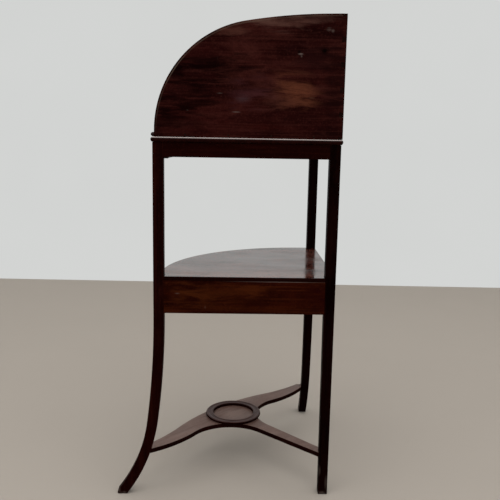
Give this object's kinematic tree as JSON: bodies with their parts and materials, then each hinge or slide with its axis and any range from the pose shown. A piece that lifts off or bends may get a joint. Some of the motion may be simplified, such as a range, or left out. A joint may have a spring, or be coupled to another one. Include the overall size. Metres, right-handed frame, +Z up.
{
  "type": "corner washstand",
  "caption": "Mahogany corner washstand with shaped backboards, a pierced top, a shelf over a bow-fronted drawer case and a stretcher with a jug ring.",
  "frame": {"origin": "on the floor, in the middle of the bounding box", "axes": "+Z up; the bow front with the drawer faces -Y, the wall corner is at +Y, and the part is symmetrical about X = 0"},
  "size_m": [0.6944, 0.4294, 1.084],
  "materials": {
    "mahogany": "polished, dark red-brown",
    "mahogany_dark": "polished, near black",
    "mahogany_worn": "worn polish, dusty brown",
    "oak": "bare, aged",
    "brass": "aged, turned",
    "iron": "dull"
  },
  "bodies": {
    "stand": {"corner_leg": "mahogany_dark", "front_leg_left": "mahogany_dark", "front_leg_right": "mahogany_dark", "top_board": "mahogany_worn", "backboard_left": "mahogany", "backboard_right": "mahogany", "backboard_nails": "iron", "upper_rail_left": "mahogany", "upper_rail_right": "mahogany", "upper_apron": "mahogany", "glue_blocks": "oak", "top_screws": "iron", "shelf_board": "mahogany_worn", "lower_rail_left": "mahogany", "lower_rail_right": "mahogany", "case_rail": "mahogany", "division_left": "mahogany", "division_right": "mahogany", "dummy_front_left": "mahogany", "dummy_front_right": "mahogany", "dummy_bead_left": "mahogany_dark", "dummy_bead_right": "mahogany_dark", "dummy_knob_left": "brass", "dummy_knob_right": "brass", "dummy_knob_nuts": "iron", "runner_left": "oak", "runner_right": "oak", "guide_left": "oak", "guide_right": "oak", "drawer_stops": "oak", "stretcher_board": "mahogany_worn", "stretcher_ring": "mahogany_dark"},
    "drawer": {"drawer_front": "mahogany", "drawer_side_left": "oak", "drawer_side_right": "oak", "drawer_back": "oak", "drawer_bottom": "oak", "drawer_bead": "mahogany_dark", "drawer_knob": "brass", "drawer_knob_nut": "iron", "drawer_bottom_nails": "iron"}
  },
  "joints": [
    {"name": "drawer_slide", "type": "slide", "parent": "stand", "child": "drawer", "axis": [0, -1, 0], "range_m": [0, 0.18]}
  ]
}
